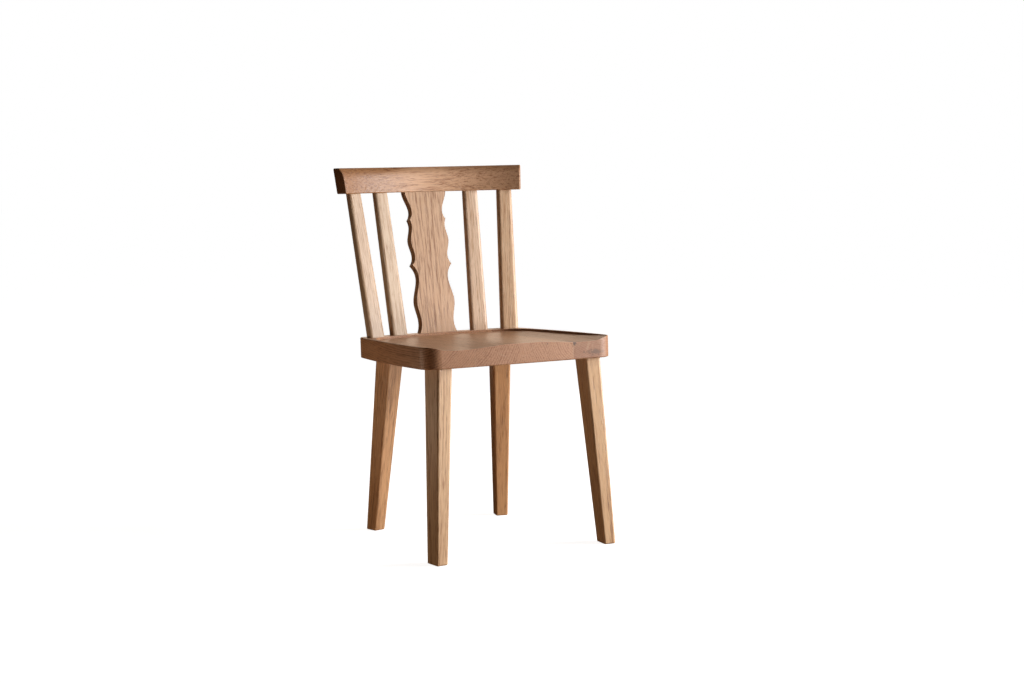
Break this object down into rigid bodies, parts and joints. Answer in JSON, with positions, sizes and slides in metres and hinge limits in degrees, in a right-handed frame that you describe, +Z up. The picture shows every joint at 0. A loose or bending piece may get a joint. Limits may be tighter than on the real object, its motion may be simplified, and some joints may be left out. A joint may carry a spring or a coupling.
{
  "type": "dining chair",
  "caption": "Armless solid oak dining chair with a hollowed plank seat, splayed tapered legs, plain spindles, a wavy central splat and a curved crest rail.",
  "frame": {"origin": "on the floor, in the middle of the chair's overall width and depth", "axes": "+Z up, -Y towards the sitter's knees (the front of the seat), +X to the chair's right as seen from the front; the chair is symmetric about X = 0"},
  "size_m": [0.4686, 0.5082, 0.82],
  "materials": {
    "oak_seat": "satin oiled oak",
    "oak_legs": "satin oiled oak",
    "oak_back": "satin oiled oak",
    "beech_dowels": "bare beech"
  },
  "bodies": {
    "root": {"crest_rail": "oak_back", "dowel_foot_left_inner": "beech_dowels", "dowel_foot_left_outer": "beech_dowels", "dowel_foot_right_inner": "beech_dowels", "dowel_foot_right_outer": "beech_dowels", "dowel_foot_splat_left": "beech_dowels", "dowel_foot_splat_right": "beech_dowels", "dowel_head_left_inner": "beech_dowels", "dowel_head_left_outer": "beech_dowels", "dowel_head_right_inner": "beech_dowels", "dowel_head_right_outer": "beech_dowels", "dowel_head_splat_left": "beech_dowels", "dowel_head_splat_right": "beech_dowels", "leg_back_left": "oak_legs", "leg_back_right": "oak_legs", "leg_front_left": "oak_legs", "leg_front_right": "oak_legs", "seat_board_centre_left": "oak_seat", "seat_board_centre_right": "oak_seat", "seat_board_left": "oak_seat", "seat_board_right": "oak_seat", "spindle_left_inner": "oak_back", "spindle_left_outer": "oak_back", "spindle_right_inner": "oak_back", "spindle_right_outer": "oak_back", "splat": "oak_back"}
  },
  "joints": []
}
